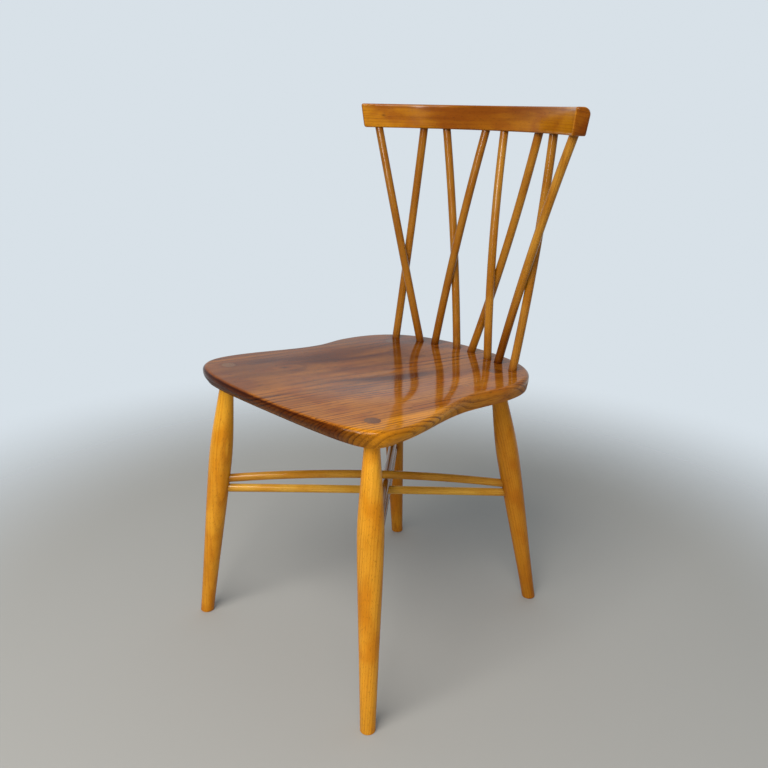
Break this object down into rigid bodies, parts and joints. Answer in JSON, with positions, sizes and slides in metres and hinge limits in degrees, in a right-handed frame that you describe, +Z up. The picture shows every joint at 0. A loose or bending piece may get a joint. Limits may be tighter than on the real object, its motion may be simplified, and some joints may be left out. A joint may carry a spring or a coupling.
{
  "type": "lattice-back wooden side chair",
  "caption": "Wooden side chair: a shaped, dished seat on splayed turned legs with crossed stretcher rods, and a lattice of crossed spindles under a curved crest rail.",
  "frame": {"origin": "centre of the chair's box at floor level", "axes": "+X to the sitter's left, across the chair; +Y from the front of the seat to the back rest; +Z up"},
  "size_m": [0.4486, 0.5016, 0.8218],
  "materials": {
    "seat_wood": "glossy clear varnish over reddish brown long-grained wood",
    "leg_wood": "glossy clear varnish over honey-coloured turned wood",
    "rod_wood": "glossy clear varnish over golden brown straight-grained wood",
    "rail_wood": "glossy clear varnish over golden brown bent wood"
  },
  "bodies": {
    "root": {"seat": "seat_wood", "leg_front_left": "leg_wood", "leg_front_right": "leg_wood", "leg_rear_left": "leg_wood", "leg_rear_right": "leg_wood", "stretcher_a_upper": "rod_wood", "stretcher_a_lower": "rod_wood", "stretcher_b_upper": "rod_wood", "stretcher_b_lower": "rod_wood", "spindle_1": "rod_wood", "spindle_2": "rod_wood", "spindle_3": "rod_wood", "spindle_4": "rod_wood", "spindle_5": "rod_wood", "spindle_6": "rod_wood", "spindle_7": "rod_wood", "spindle_8": "rod_wood", "crest_rail": "rail_wood"}
  },
  "joints": []
}
